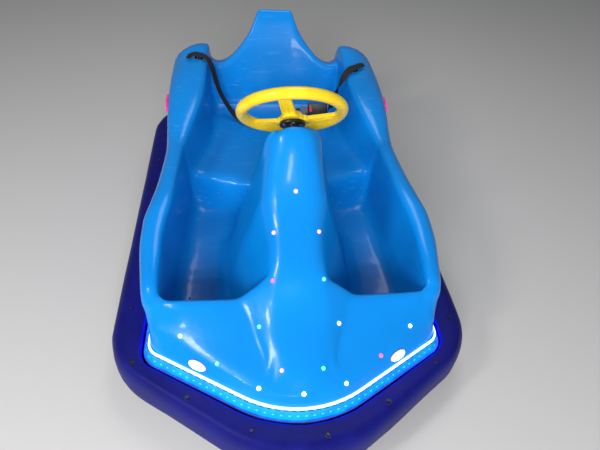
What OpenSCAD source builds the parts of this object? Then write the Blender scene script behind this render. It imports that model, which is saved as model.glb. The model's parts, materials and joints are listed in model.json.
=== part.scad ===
// Bumper car for children: a moulded tub on a steel frame, a rubber ring all
// round, one steered drive wheel in front and two plain wheels behind.
// Millimetres. The nose points to -Y, +X is the driver's left, the floor is z = 0
// and the origin is on the floor under the middle of the ring.
// Along the car, d is the distance behind a point just ahead of the ring.

/* [Bumper ring] */
// Length over the ring
ring_l = 1630; // [1590:10:1740]
// Width over the ring
ring_w = 910; // [890:5:930]
// Thickness of the ring, outside to inside
ring_t = 92; // [84:1:94]
// Underside of the ring above the floor
ring_z0 = 40; // [30:1:50]
// Top of the ring above the floor
ring_z1 = 146; // [140:1:150]
// Radius of the ring's nose and tail, seen from above
ring_nose_r = 314; // [300:2:330]
// Angle of the ring's cheeks beside the nose, from straight across
ring_cheek_a = 35.5; // [34:0.5:37]
// Radius of the ring's four corners
ring_corner_r = 200; // [190:2:210]

/* [Moulded tub] */
// Wall of the tub
shell_t = 6; // [4:0.5:7]
// Floor of the footwells at the front, above the ground
floor_z = 112; // [110:1:124]
// Seat above the ground
seat_z = 256; // [248:1:270]
// Top of the backrest's middle tab
back_z = 572; // [540:1:610]
// Saddles of the backrest beside the tab
saddle_z = 414; // [400:1:430]
// Half width of the backrest's tab
tab_w = 61; // [50:1:66]
// Lean of the backrest, degrees from upright
back_lean = 19.8; // [16:0.1:22]

/* [Steering] */
// Diameter over the steering wheel's rim
wheel_d = 270; // [240:2:290]
// Thickness of the rim
rim_t = 28; // [22:1:32]
// Angle between the steering axis and upright
column_a = 49; // [46:0.5:52]
// Height of the steering wheel's centre
wheel_z = 574; // [572:1:590]
// Distance of the steering wheel's centre behind the nose
wheel_at = 642; // [639:1:655]
// Depth of the wheel's dish, rim to hub
dish = 22; // [16:1:26]
// How far round the wheel stands turned
wheel_turn = -15.5; // [-20:1:20]
// Radius of the steering shafts
shaft_r = 9; // [8:0.5:11]

/* [Running gear] */
// Radius of the front drive wheel
front_r = 95; // [90:1:98]
// Width of the front tyre
front_w = 50; // [44:1:56]
// Distance of the front wheel behind the nose
front_at = 459; // [452:1:466]
// Radius of the rear wheels
rear_r = 80; // [74:1:88]
// Width of the rear tyres
rear_w = 44; // [40:1:50]
// Distance of the rear wheels behind the nose
rear_at = 1309; // [1300:1:1318]
// Distance between the rear wheels' middles
rear_track = 520; // [500:2:540]
// Radius of the axles
axle_r = 8; // [7:0.5:9]

/* [Frame] */
// Side of the square frame tubes
tube = 30; // [26:1:32]
// Underside of the frame tubes above the ground
tube_z = 70; // [66:1:72]
// Distance between the long tubes' middles
rail_gap = 300; // [296:2:310]
// Thickness of the hoop and plates
plate = 5; // [4:0.5:6]
// Radius of the fixing holes in the frame
fix_r = 5.5; // [4.5:0.5:6.5]
// Distance between the fixing holes across the car
fix_x = 220; // [210:2:230]
// Distance between the fixing holes along the car
fix_y = 360; // [340:2:380]

/* [Lights] */
// Width of the light strip's band
strip_h = 30; // [24:1:31]
// Thickness of the light strip
strip_t = 4; // [3:0.5:5]
// Radius of the small lights on the hood
stud_r = 5; // [4:0.5:6]
// Width of a headlamp
lamp_w = 46; // [40:1:52]
// Height of a headlamp
lamp_h = 21; // [18:1:24]

/* [Lap belt] */
// Width of the webbing
web_w = 25; // [20:1:30]
// Thickness of the webbing
web_t = 2.5; // [2:0.5:3]

/* [Hidden] */

// The car is drawn 1630 long and 910 wide: extra length goes in behind the
// footwells, and extra width outside them.
stretch_d = 680;
more_l = ring_l - 1630;
more_w = (ring_w - 910) / 2;
// Small clearance where one piece is seated on another
fit = 0.3;
// Running clearance of a shaft in its bore
run = 0.05;

tip_d = 10;
function yd(d) = d - tip_d - ring_l / 2 + (d > stretch_d ? more_l : 0);
function mix(a, b, t) = a + (b - a) * t;
function clamp(v, a, b) = min(max(v, a), b);
function unit(v) = v / max(norm(v), 0.0001);

// Smooth curve through a table's rows: column 0 is d, column c the value
function row_at(t, d, i = 0) = i >= len(t) - 2 || d < t[i + 1][0] ? i : row_at(t, d, i + 1);
function slope(t, i, c) =
    i == 0 ? (t[1][c] - t[0][c]) / (t[1][0] - t[0][0]) :
    i == len(t) - 1 ? (t[i][c] - t[i - 1][c]) / (t[i][0] - t[i - 1][0]) :
    let (a = (t[i][c] - t[i - 1][c]) / (t[i][0] - t[i - 1][0]),
         b = (t[i + 1][c] - t[i][c]) / (t[i + 1][0] - t[i][0]))
    a * b <= 0 ? 0 : 2 * a * b / (a + b);
function curve(t, d, c) =
    let (e = clamp(d, t[0][0], t[len(t) - 1][0]), i = row_at(t, e),
         h = t[i + 1][0] - t[i][0], u = (e - t[i][0]) / h,
         a = slope(t, i, c) * h, b = slope(t, i + 1, c) * h,
         p = t[i][c], q = t[i + 1][c])
    p + u * (a + u * (3 * (q - p) - 2 * a - b + u * (2 * (p - q) + a + b)));

// The outline that tub, light strip and hoop follow, seen from above: a nose
// arc, a straight cheek, a corner arc and a straight side, and the same at the
// tail. It runs along the ring's sides and just ahead of its nose, and a line
// o inside it is parallel to it.
nose_r = 364;
cheek_a = 31;
corner_r = 150;
nose_gap = 19;
half_l = ring_l / 2 + nose_gap;
corner_x = ring_w / 2 - corner_r;
corner_d = nose_r + (sin(cheek_a) * corner_x - nose_r + corner_r) / cos(cheek_a);
function cheek_k(o) = nose_r * (1 - cos(cheek_a)) - o;
// Distance from the nearer end at half width x
function end_at(x, o) =
    let (r = nose_r - o, c = corner_r - o)
    x <= r * sin(cheek_a) ? nose_r - sqrt(r * r - x * x) :
    x <= corner_x + c * sin(cheek_a) ? (sin(cheek_a) * x - cheek_k(o)) / cos(cheek_a) :
    corner_d - sqrt(max(c * c - pow(x - corner_x, 2), 0));
nose_n = 6;
turn_n = 8;
function quarter(n_r, c_a, c_r, c_d) = concat(
    [for (i = [0:nose_n]) let (a = mix(0, c_a, i / nose_n)) [n_r * sin(a), -n_r * cos(a)]],
    [for (i = [0:turn_n]) let (a = mix(c_a, 90, i / turn_n)) [c_d[0] + c_r * sin(a), c_d[1] - c_r * cos(a)]]);
// A whole outline as points, anticlockwise from the nose
function whole(q, h) = let (n = len(q) - 1) concat(
    [for (i = [0:n]) [q[i][0], q[i][1] - h]], [for (i = [n:-1:0]) [q[i][0], h - q[i][1]]],
    [for (i = [1:n]) [-q[i][0], h - q[i][1]]], [for (i = [n:-1:1]) [-q[i][0], q[i][1] - h]]);
function outline(o) = whole(quarter(nose_r - o, cheek_a, corner_r - o,
    [corner_x, corner_d - nose_r]), half_l - nose_r);
// The ring's own outline, which is rounder at the corners
ring_corner_x = ring_w / 2 - ring_corner_r;
ring_corner_d = (sin(ring_cheek_a) * ring_corner_x - ring_nose_r + ring_corner_r) / cos(ring_cheek_a);
ring_outline = whole(quarter(ring_nose_r, ring_cheek_a, ring_corner_r,
    [ring_corner_x, ring_corner_d]), ring_l / 2 - ring_nose_r);
ring_inside = outline(ring_t);

// A closed band swept round the outline: its section is [distance inside, height].
// A wide band starts at the ring's own outline.
module band(section, wide = false) {
    n = len(section);
    loops = [for (s = section) wide ? ring_outline + (ring_inside - ring_outline) * s[0] / ring_t :
        outline(s[0])];
    m = len(loops[0]);
    polyhedron(
        [for (i = [0:m - 1]) for (k = [0:n - 1]) [loops[k][i][0], loops[k][i][1], section[k][1]]],
        [for (i = [0:m - 1]) for (k = [0:n - 1]) let (j = (i + 1) % m, l = (k + 1) % n)
            [i * n + k, j * n + k, j * n + l, i * n + l]]);
}
module outline_plate(o, h) {
    linear_extrude(h) polygon(outline(o));
}

// The hoop's ledge, which the tub's wall stands on
ledge_z = ring_z1 - 8;
foot_in = ring_t + 7;
// Top of the sloping band that the light strip lies on
strip_lean = 14;
wall_in_top = foot_in + strip_lean;
wall_z = ledge_z + 34;

// The raised middle: d, half width of its top, half width of its foot,
// height, how far its edge lies lower, and how flat its top is
HUMP = [
    [115, 96, 118, 188, 0, 2], [126, 84, 106, 198, 0, 2], [150, 58, 84, 221, 14, 2],
    [186, 64, 84, 239, 9, 2], [222, 78, 99, 254, 10, 2.2], [258, 84, 111, 271, 14, 2.3],
    [288, 82, 119, 294, 18, 2.4], [323, 74, 138, 334, 24, 2.6], [369, 66, 158, 372, 26, 2.8],
    [419, 66, 166, 404, 28, 2.8], [474, 78, 168, 462, 40, 2.6], [499, 82, 168, 505, 74, 2.4],
    [524, 82, 168, 556, 118, 2.3], [554, 82, 168, 588, 140, 2.3], [567, 82, 168, 573, 124, 6],
    [637, 80, 164, 489, 40, 6], [659, 76, 158, 420, 30, 3], [699, 70, 150, 330, 24, 2.5],
    [749, 64, 146, 290, 16, 2.5], [819, 60, 150, 262, 2, 2.5], [1209, 60, 150, 262, 0, 2.5]];
// The rim round the cockpit: d, half width of the floor, half width of the
// rim's inner edge, half width of its outer edge, height of its crown, and how
// far its outer edge lies lower
RIM = [
    [276, 303, 316, 347, 212, 17], [300, 304, 317, 350, 226, 19], [326, 306, 318, 356, 255, 21],
    [354, 308, 318, 362, 285, 22], [419, 308, 318, 370, 308, 22],
    [479, 308, 318, 376, 324, 22], [544, 303, 312, 374, 340, 22], [609, 292, 300, 360, 354, 22],
    [709, 286, 294, 346, 360, 22], [829, 278, 288, 340, 364, 22], [899, 266, 276, 342, 378, 22],
    [959, 246, 256, 346, 402, 23], [1019, 232, 238, 348, 422, 26], [1099, 226, 230, 350, 440, 32],
    [1199, 224, 229, 350, 458, 46], [1280, 222, 227, 346, 474, 62], [1340, 222, 228, 338, 474, 64],
    [1420, 222, 230, 328, 440, 56]];
// Stations across the tub: d at the middle, how strongly the station bows back
// at its ends, and the height there of the apron, footwell or seat
apron = [
    [115, 1, 190], [126, 0.99, 198], [150, 0.89, 207], [186, 0.72, 217], [222, 0.54, 231],
    [258, 0.35, 244], [288, 0.2, 256], [316, 0.07, 265], [328, 0.04, 264], [336, 0.03, 250]];
well = [
    [342, 0.03, 180], [348, 0.03, floor_z + 14], [358, 0.02, floor_z + 2], [384, 0, floor_z],
    [419, 0, floor_z + 4], [449, 0, floor_z + 7], [474, 0, floor_z + 10],
    [487, 0, floor_z + 11], [501, 0, floor_z + 13], [516, 0, floor_z + 14],
    [531, 0, floor_z + 16], [545, 0, floor_z + 17], [555, 0, floor_z + 18],
    [567, 0, floor_z + 20], [601, 0, floor_z + 24], [636, 0, floor_z + 28],
    [651, 0, floor_z + 30], [669, 0, floor_z + 32], [699, 0.15, floor_z + 35],
    [731, 0.45, floor_z + 38], [745, 0.55, floor_z + 46]];
seat = [
    [752, 0.57, seat_z - 60], [759, 0.57, seat_z - 12], [771, 0.57, seat_z],
    [819, 0.45, seat_z], [889, 0.3, seat_z - 3], [969, 0.15, seat_z - 4],
    [1049, 0.05, seat_z - 2], [1119, 0, seat_z + 4], [1179, 0, seat_z + 12],
    [1209, 0, seat_z + 19]];
FLAT = concat(apron, well, seat);
// The backrest starts at its crease with the seat
crease_d = 1224;
crease_z = seat_z + 26;
// Stations up the backrest: share of the way up, bow, distance behind its face
BACK = [
    [0, -0.02, 0], [0.1, -0.05, 0], [0.3, -0.1, 0], [0.52, -0.15, 0], [0.74, -0.2, 0],
    [0.9, -0.24, 0], [0.97, -0.26, 2], [1, -0.28, 10], [0.985, -0.32, 24]];
// Stations down the tail: share of the way down, bow, d at the middle
TAIL = [[0.12, -0.42, 1372], [0.38, -0.56, 1404], [0.68, -0.74, 1444], [0.9, -0.9, 1486],
    [1, -1, 1522]];
tail_z = 262;
// How far a fully bowed station runs back at half width x: it follows the outline
bow_in = foot_in + 17;
bow_x = corner_x + (corner_r - bow_in) - 2;
function bow(x) = end_at(min(abs(x), bow_x), bow_in) - bow_in;

// Top edge of the backrest against half width: 0 at the saddle, 1 on the tab
BACK_TOP = [[0, 1], [tab_w - 10, 1], [tab_w, 0.97], [tab_w + 17, 0.64], [tab_w + 26, 0.53],
    [tab_w + 47, 0.385], [133, 0.2], [160, 0.05], [184, 0], [240, 0]];
// The lines across the backrest close in on the tab's sides, share t of the way
BACK_X = [0, 24, 42, tab_w - 8, tab_w, tab_w + 17, tab_w + 47, 150, 182];
function back_x(k, t, d) = k > 8 ? wide(d, k) : mix(wide(d, k), BACK_X[k], clamp(t, 0, 1));
function back_top(x) = mix(saddle_z, back_z, curve(BACK_TOP, x, 1));

// The sixteen lines of a section, from the middle out: five over the hump's
// top, two down its side, three on the floor, two up the wall, four on the rim
LINES = 15;
CROWN = [0, 0.38, 0.68, 0.88, 1];
function line_x(hw, fw, ww, iw, ow, k) = k <= 4 ? CROWN[k] * hw : [
    mix(hw, fw, 0.5), fw - 5, fw + 12, mix(fw, ww, 0.5), ww - 16, ww, mix(ww, iw, 0.75),
    iw + 3, mix(iw, ow, 0.3), mix(iw, ow, 0.74), ow][k - 5];
function line_z(zc, dr, p, zf, zr, k, er = 22) =
    let (ze = zc - dr, low = min(zf, zr - (zc > 0 ? 0 : 14)))
    k <= 3 ? zc - dr * pow(CROWN[k], p * 1.6) :
    k == 4 ? ze :
    k == 5 ? mix(ze, zf, 0.48) :
    k == 6 ? mix(zf, ze, 0.06) :
    k <= 9 ? zf :
    k == 10 ? mix(low, zr, 0.1) :
    k == 11 ? mix(low, zr, 0.86) :
    k == 12 ? zr - min(6, (zr - low) * 0.3) : k == 13 ? zr : k == 14 ? zr - er * er / 170 : zr - er;
function wide(d, k) = line_x(curve(HUMP, d, 1), curve(HUMP, d, 2), curve(RIM, d, 1) + more_w,
    curve(RIM, d, 2) + more_w, curve(RIM, d, 3) + more_w, k);

// The hood's front edge draws back along its cheeks by CHEEK, against half
// width, and the next stations follow it less and less by FALL, against d
CHEEK = [[140, 0], [180, 4], [210, 9], [240, 17], [288, 26], [304, 23], [328, 13],
    [342, 6], [350, 6]];
FALL = [[115, 1], [126, 0.95], [150, 0.8], [186, 0.58], [222, 0.36], [258, 0.18], [288, 0.07],
    [316, 0]];
function draw_back(d, x) = d > 316 ? 0 : curve(FALL, d, 1) * curve(CHEEK, x, 1);
// A point of a flat station, a backrest station and a tail station
function flat_pt(s, k) =
    let (dr = s[0] + s[1] * bow(330), x = k < 8 ? wide(s[0], k) : wide(dr, k),
         back = draw_back(s[0], x))
    [x, s[0] + s[1] * bow(x) + back,
     line_z(max(curve(HUMP, s[0], 3), s[2]), curve(HUMP, s[0], 4), curve(HUMP, s[0], 5),
        s[2] + 0.75 * back, curve(RIM, dr, 4), k, curve(RIM, dr, 5))];
function back_pt(s, k) =
    let (x = back_x(k, s[0] * 1.6, crease_d), zb = mix(crease_z, back_top(x), s[0]),
         d = crease_d + (zb - crease_z) * tan(back_lean) + s[2] + s[1] * bow(x),
         dr = crease_d + (saddle_z - crease_z) * s[0] * tan(back_lean) + s[2] * 1.6
            + 0.35 * s[1] * bow(x),
         zr = curve(RIM, dr, 4))
    k <= 9 ? [x, d, zb] : [x, dr, line_z(0, 0, 1, zb, max(zr, zb + 4), k, curve(RIM, dr, 5))];
function tail_pt(s, k) =
    let (x = back_x(k, 1 - s[0], 1330), dk = s[2] + s[1] * bow(x),
         z = k > 10 ? curve(RIM, 1330, 4) - (k == 15 ? 64 : k == 14 ? 24 : k == 11 ? 8 : 0) : back_top(x))
    [x, dk, mix(z, tail_z, s[0])];

rows_flat = len(FLAT);
rows_back = len(BACK);
rows = rows_flat + rows_back + len(TAIL);
cols = 2 * LINES + 1;
half_grid = [for (i = [0:rows - 1]) [for (k = [0:LINES])
    i < rows_flat ? flat_pt(FLAT[i], k) :
    i < rows_flat + rows_back ? back_pt(BACK[i - rows_flat], k) :
    tail_pt(TAIL[i - rows_flat - rows_back], k)]];
// The tub's top as a grid, row by row from the nose, column by column from -X
top = [for (i = [0:rows - 1]) [for (j = [0:cols - 1])
    let (p = half_grid[i][abs(j - LINES)]) [sign(j - LINES) * p[0], yd(p[1]), p[2]]]];

// The grid's edge as one loop: nose, +X side, tail, -X side
edge_ij = concat(
    [for (j = [0:cols - 1]) [0, j]], [for (i = [1:rows - 1]) [i, cols - 1]],
    [for (j = [cols - 2:-1:0]) [rows - 1, j]], [for (i = [rows - 2:-1:1]) [i, 0]]);
edge_n = len(edge_ij);
function edge_index(i, j) =
    i == 0 ? j : j == cols - 1 ? cols - 1 + i :
    i == rows - 1 ? 2 * cols + rows - 3 - j : edge_n - i;
// The point o inside the outline that is nearest to an edge point
function outside(ij, o) =
    let (p = top[ij[0]][ij[1]], s = p[0] < 0 ? -1 : 1, t = p[1] < 0 ? 1 : -1,
         q = nearest(abs(p[0]), half_l - abs(p[1]), o))
    [s * q[0], t * (q[1] - half_l)];
function nearest(x, e, o) =
    let (u = x * cos(cheek_a) - (corner_d - e) * sin(cheek_a),
         v = x * cos(cheek_a) - (nose_r - e) * sin(cheek_a))
    e >= corner_d ? [ring_w / 2 - o, e] :
    u > corner_x * cos(cheek_a) ?
        [corner_x, corner_d] + (corner_r - o) * unit([x - corner_x, e - corner_d]) :
    v > 0 ? let (g = (cheek_k(o) + cos(cheek_a) * e - sin(cheek_a) * x))
        [x + g * sin(cheek_a), e - g * cos(cheek_a)] :
    [0, nose_r] + (nose_r - o) * unit([x, e - nose_r]);
// Loops down the tub's wall: share of the way down, and swell outwards
WALL = [[0.1, 2], [0.42, 5], [0.84, 2]];
wall_n = len(WALL) + 2;
function wall_pt(w, n) =
    let (ij = edge_ij[n], p = top[ij[0]][ij[1]],
         q = outside(ij, w == wall_n - 1 ? foot_in : wall_in_top),
         side = ij[0] > 0 && ij[0] < rows - 1 ? sign(p[0]) : 0,
         tall = clamp((p[2] - wall_z) / 120, 0, 1))
    w < len(WALL) ? [mix(p[0], q[0], WALL[w][0]) + WALL[w][1] * tall * side,
        mix(p[1], q[1], WALL[w][0]), mix(p[2], wall_z, WALL[w][0])] :
    [q[0], q[1], w == wall_n - 1 ? ledge_z + fit : wall_z];
wall = [for (w = [0:wall_n - 1]) [for (n = [0:edge_n - 1]) wall_pt(w, n)]];

// The inner skin: every point goes in by the wall's thickness along its normal
function near(i, j) =
    let (a = clamp(i, 0, rows - 1), b = clamp(j, 0, cols - 1))
    a == i && b == j ? top[i][j] : wall[0][edge_index(a, b)];
function top_normal(i, j) =
    unit(cross(near(i, j + 1) - near(i, j - 1), near(i + 1, j) - near(i - 1, j)));
top_in = [for (i = [0:rows - 1]) [for (j = [0:cols - 1])
    top[i][j] - shell_t * top_normal(i, j)]];
wall_in = [for (w = [0:wall_n - 1]) [for (n = [0:edge_n - 1])
    let (ij = edge_ij[n], p = top_in[ij[0]][ij[1]], t = w < len(WALL) ? WALL[w][0] : 1,
         q = outside(ij, (w == wall_n - 1 ? foot_in : wall_in_top) + shell_t), a = wall[w][n],
         b = outside(ij, wall_in_top), r = [p[0], p[1]] - [top[ij[0]][ij[1]][0], top[ij[0]][ij[1]][1]])
    w < len(WALL) ? [a[0] + mix(r[0], q[0] - b[0], t), a[1] + mix(r[1], q[1] - b[1], t),
        mix(p[2], wall_z, t)] : [q[0], q[1], a[2]]]];
// Point and normal on the tub at row i and column j, which need not be whole
function blend4(g, i, j) =
    let (a = floor(i), b = floor(j), u = i - a, v = j - b)
    mix(mix(g[a][b], g[a][b + 1], v), mix(g[a + 1][b], g[a + 1][b + 1], v), u);
function on_tub(i, j) = blend4(top, i, j);
function tub_normal(i, j) = unit(blend4(top, i, j) - blend4(top_in, i, j));

module body_shell() {
    skin = rows * cols + wall_n * edge_n;
    function at_top(s, i, j) = s * skin + i * cols + j;
    function at_wall(s, w, n) =
        w < 0 ? at_top(s, edge_ij[n % edge_n][0], edge_ij[n % edge_n][1]) :
        s * skin + rows * cols + w * edge_n + n % edge_n;
    function cell(s, i, j) = let (f = [at_top(s, i, j), at_top(s, i + 1, j),
        at_top(s, i + 1, j + 1), at_top(s, i, j + 1)]) s == 0 ? f : [f[3], f[2], f[1], f[0]];
    function side(s, w, n) = let (f = [at_wall(s, w, n), at_wall(s, w, n + 1),
        at_wall(s, w + 1, n + 1), at_wall(s, w + 1, n)]) s == 0 ? f : [f[3], f[2], f[1], f[0]];
    // The column's hole is cut in the skin's own mesh, at the size it is drawn
    color("deepskyblue") resize([0, 0, 0]) difference() {
        polyhedron(
        [for (g = [top, wall, top_in, wall_in]) for (r = g) for (p = r) p],
        concat(
            [for (s = [0, 1]) for (i = [0:rows - 2]) for (j = [0:cols - 2]) cell(s, i, j)],
            [for (s = [0, 1]) for (w = [-1:wall_n - 2]) for (n = [0:edge_n - 1]) side(s, w, n)],
            [for (n = [0:edge_n - 1]) [at_wall(0, wall_n - 1, n), at_wall(0, wall_n - 1, n + 1),
                at_wall(1, wall_n - 1, n + 1), at_wall(1, wall_n - 1, n)]]));
        on_column() translate([0, 0, face_z - 30]) cylinder(r = shaft_r + 3, h = 60, $fn = 48);
    }
}

module bumper_ring() {
    t = ring_t;
    a = ring_z0;
    b = ring_z1;
    color("midnightblue") band([[0, a + 30], [0, b - 40], [4, b - 22], [14, b - 8], [28, b - 1],
        [46, b], [t - 26, b - 1], [t - 8, b - 2], [t, b - 6], [t, a + 4], [t - 5, a], [18, a], [6, a + 9]], true);
}

module light_strip() {
    lean = strip_lean / (wall_z - ledge_z);
    z0 = ledge_z + fit;
    z1 = z0 + strip_h;
    low = foot_in - 2 * fit;
    high = low + lean * strip_h;
    color("cyan") band([[low - strip_t, z0 + 1], [high - strip_t, z1], [high, z1 + 1], [low, z0]]);
}

// Puts its children at a point, with their +Z along n
module aim(p, n) {
    translate(p) rotate([0, acos(clamp(n[2] / norm(n), -1, 1)), atan2(n[1], n[0])]) children();
}

// Headlamps sit on the fascia between the strip and the hood's edge, at the
// edge loop's point number lamp_n
lamp_n = LINES + 8.18;
function loop_at(g, n) = mix(g[floor(n)], g[floor(n) + 1], n - floor(n));
module headlamp(s) {
    low = loop_at(wall[wall_n - 2], lamp_n);
    high = loop_at(top[0], lamp_n);
    along = wall[wall_n - 2][floor(lamp_n) + 1] - wall[wall_n - 2][floor(lamp_n)];
    n = unit(cross(along, high - low));
    color("white") mirror([s < 0 ? 1 : 0, 0, 0]) aim(mix(low, high, 0.42) + n * 1.2, n)
        rotate([0, 0, 90]) difference() {
            scale([1, lamp_h / lamp_w, 0.42]) sphere(d = lamp_w, $fn = 48);
            translate([0, 0, -lamp_w]) cube([2 * lamp_w, 2 * lamp_w, 2 * lamp_w], center = true);
        }
}
module headlamp_left() { headlamp(1); }
module headlamp_right() { headlamp(-1); }

// Small lights on the hood: grid row and grid columns out from the middle
STUDS = [[16.1, 0], [13.9, 2.56], [7.8, 2.55], [4.8, 4.62], [1.2, 8.76], [0.8, 7.72],
    [2.25, 2.4], [0.4, 4.4], [0.4, 0]];
module hood_lights() {
    color("white") for (s = STUDS) for (m = s[1] == 0 ? [1] : [-1, 1]) {
        i = s[0];
        j = LINES + m * s[1];
        aim(on_tub(i, j) + tub_normal(i, j) * 0.7, tub_normal(i, j))
            cylinder(r1 = stud_r, r2 = stud_r * 0.7, h = stud_r * 0.6, $fn = 24);
    }
}

// Oval lamps on the outside of the shoulders, beside the edge loop's point
side_n = cols - 1 + 37;
side_lamp_l = 90;
module side_lamp(s) {
    high = wall[0][side_n];
    low = wall[1][side_n];
    n = unit(cross(wall[0][side_n + 1] - wall[0][side_n - 1], high - low));
    color("deeppink") mirror([s < 0 ? 1 : 0, 0, 0]) aim(mix(high, low, 0.14) + n * 0.5, n)
        linear_extrude(6) scale([0.42, 1]) circle(d = side_lamp_l, $fn = 48);
}
module side_lamp_left() { side_lamp(1); }
module side_lamp_right() { side_lamp(-1); }

// The hoop: an upright flat bar inside the ring, with a ledge for the tub
hoop_in = ring_t + fit;
module hoop() {
    color("dimgray") {
        translate([0, 0, ring_z0 + 20]) difference() {
            outline_plate(hoop_in, ledge_z - ring_z0 - 20);
            translate([0, 0, -1]) outline_plate(hoop_in + plate, ledge_z - ring_z0 - 18);
        }
        translate([0, 0, ledge_z - plate]) difference() {
            outline_plate(hoop_in + plate, plate);
            translate([0, 0, -1]) outline_plate(hoop_in + plate + 22, plate + 2);
        }
    }
}

rail_x = rail_gap / 2;
tube_top = tube_z + tube;
bridge_half = 132;
cross_d = [front_at - bridge_half, front_at + bridge_half + 9, 1180, 1440];
fix_d = 950;
module frame() {
    color("dimgray") difference() {
        intersection() {
            translate([0, 0, tube_z]) outline_plate(hoop_in + plate, tube);
            union() {
                for (s = [-1, 1]) translate([s * rail_x - tube / 2, -ring_l / 2, tube_z])
                    cube([tube, ring_l, tube]);
                for (d = cross_d) translate([-ring_w / 2, yd(d) - tube / 2, tube_z])
                    cube([ring_w, tube, tube]);
                for (s = [-1, 1]) for (t = [-1, 1])
                    translate([s * (rail_x - tube / 2 - 25) - 26, yd(fix_d) + t * fix_y / 2 - 30, tube_z])
                        cube([52, 60, plate]);
            }
        }
        for (s = [-1, 1]) for (t = [-1, 1])
            translate([s * fix_x / 2, yd(fix_d) + t * fix_y / 2, tube_z - 1])
                cylinder(r = fix_r, h = plate + 2, $fn = 32);
    }
}

// The bridge over the front wheel carries its upright steering pin
pin_r = 15;
fork_top = 2 * front_r + 16;
bridge_z = fork_top + 34;
bridge_w = 60;
module front_bridge() {
    y = yd(front_at);
    color("dimgray") difference() {
        union() {
            for (t = [-1, 1]) translate([-bridge_w / 2, y + t * bridge_half - 4, tube_top])
                cube([bridge_w, 8, bridge_z + 8 - tube_top]);
            translate([-bridge_w / 2, y - bridge_half, bridge_z])
                cube([bridge_w, 2 * bridge_half, 8]);
            translate([0, y, bridge_z - 14]) cylinder(r = pin_r + 9, h = 40, $fn = 48);
        }
        translate([0, y, bridge_z - 20]) cylinder(r = pin_r + run, h = 60, $fn = 48);
    }
}

// The steering axis: a local frame with +Z from the column to the driver
module on_column() {
    translate([0, yd(wheel_at), wheel_z]) rotate([-column_a, 0, 0]) children();
}
hub_z = -dish;
flange_z = hub_z - 18;
// The boss's flat end, measured from the wheel's centre
face_z = (yd(602) - yd(wheel_at)) * sin(column_a) + (531 - wheel_z) * cos(column_a);
rim_r = (wheel_d - rim_t) / 2;
module steering_wheel() {
    color("gold") on_column() rotate([0, 0, wheel_turn]) difference() {
        union() {
            rotate_extrude($fn = 96) translate([rim_r, 0])
                polygon([for (a = [7.5:15:360]) rim_t / 2 * [cos(a), sin(a)]]);
            translate([0, 0, hub_z - 4]) cylinder(r = 30, h = 16, $fn = 48);
            for (a = [-90, 30, 150]) rotate([0, 0, a]) rotate([90, 0, 0]) translate([0, 0, -15])
                linear_extrude(30) polygon([[14, hub_z - 3], [26, hub_z - 3], [rim_r, -5],
                    [rim_r, 5], [26, hub_z + 7], [14, hub_z + 7]]);
        }
        translate([0, 0, hub_z - 10]) cylinder(r = shaft_r + run, h = 40, $fn = 32);
    }
}
module wheel_cap() {
    color("gold") on_column() translate([0, 0, hub_z + 12 + fit])
        cylinder(r1 = 24, r2 = 20, h = 6, $fn = 48);
}
module column_flange() {
    color("black") on_column() difference() {
        union() {
            translate([0, 0, face_z + 3.5]) cylinder(r = 32, h = 6, $fn = 64);
            translate([0, 0, face_z + 9]) cylinder(r = 15, h = flange_z - face_z - 10, $fn = 48);
            for (a = [45:90:315]) rotate([0, 0, a]) translate([23, 0, face_z + 9])
                cylinder(r = 5, h = 4, $fn = 24);
        }
        translate([0, 0, face_z - 5]) cylinder(r = shaft_r + run, h = 60, $fn = 32);
    }
}
joint_s = 168;
boot_r = 21;
module steering_shaft() {
    color("silver") on_column() {
        translate([0, 0, boot_r + fit - joint_s])
            cylinder(r = shaft_r, h = joint_s - boot_r - fit + hub_z + 12, $fn = 32);
        translate([0, 0, hub_z - 12]) cylinder(r = 31, h = 7.8, $fn = 64);
        for (a = [0:72:288]) rotate([0, 0, a + wheel_turn]) translate([21, 0, hub_z - 16])
            cylinder(r = 5, h = 5, $fn = 6);
    }
}
upper_joint = [0, yd(wheel_at) - joint_s * sin(column_a), wheel_z - joint_s * cos(column_a)];
lower_joint = [0, yd(front_at), bridge_z + 26 + 38];
module upper_boot() {
    color("black") translate(upper_joint) sphere(r = boot_r, $fn = 48);
}
module middle_shaft() {
    v = upper_joint - lower_joint;
    l = norm(v);
    color("silver") aim(lower_joint, v) translate([0, 0, boot_r + fit])
        cylinder(r = shaft_r, h = l - 2 * (boot_r + fit), $fn = 32);
}
module lower_boot() {
    color("black") translate(lower_joint) sphere(r = boot_r, $fn = 48);
}

leg_gap = front_w + 12;
module front_fork() {
    color("silver") translate([0, yd(front_at), 0]) difference() {
        union() {
            translate([0, 0, fork_top]) cylinder(r = pin_r, h = lower_joint[2] - boot_r - fit - fork_top, $fn = 48);
            translate([-leg_gap / 2 - 8, -24, fork_top]) cube([leg_gap + 16, 48, 10]);
            translate([0, 0, fork_top + 10]) cylinder(r = 22, h = bridge_z - 14 - fit - fork_top - 10, $fn = 48);
            for (s = [-1, 1]) translate([s * (leg_gap / 2 + 4), 0, front_r]) {
                translate([-4, -20, 0]) cube([8, 40, fork_top - front_r + 10]);
                translate([-4, 0, 0]) rotate([0, 90, 0]) cylinder(r = 20, h = 8, $fn = 48);
            }
        }
        translate([-leg_gap, 0, front_r]) rotate([0, 90, 0])
            cylinder(r = axle_r + run, h = 2 * leg_gap, $fn = 32);
    }
}
module across(x0, x1, r, n = 48) {
    translate([x0, 0, 0]) rotate([0, 90, 0]) cylinder(r = r, h = x1 - x0, $fn = n);
}
module front_axle() {
    e = leg_gap / 2 + 8;
    color("silver") translate([0, yd(front_at), front_r]) {
        across(-e - 9, e + 9, axle_r, 32);
        for (s = [-1, 1]) translate([s * (e + fit + 3.5), 0, 0]) across(-3.5, 3.5, 13, 6);
    }
}
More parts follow.
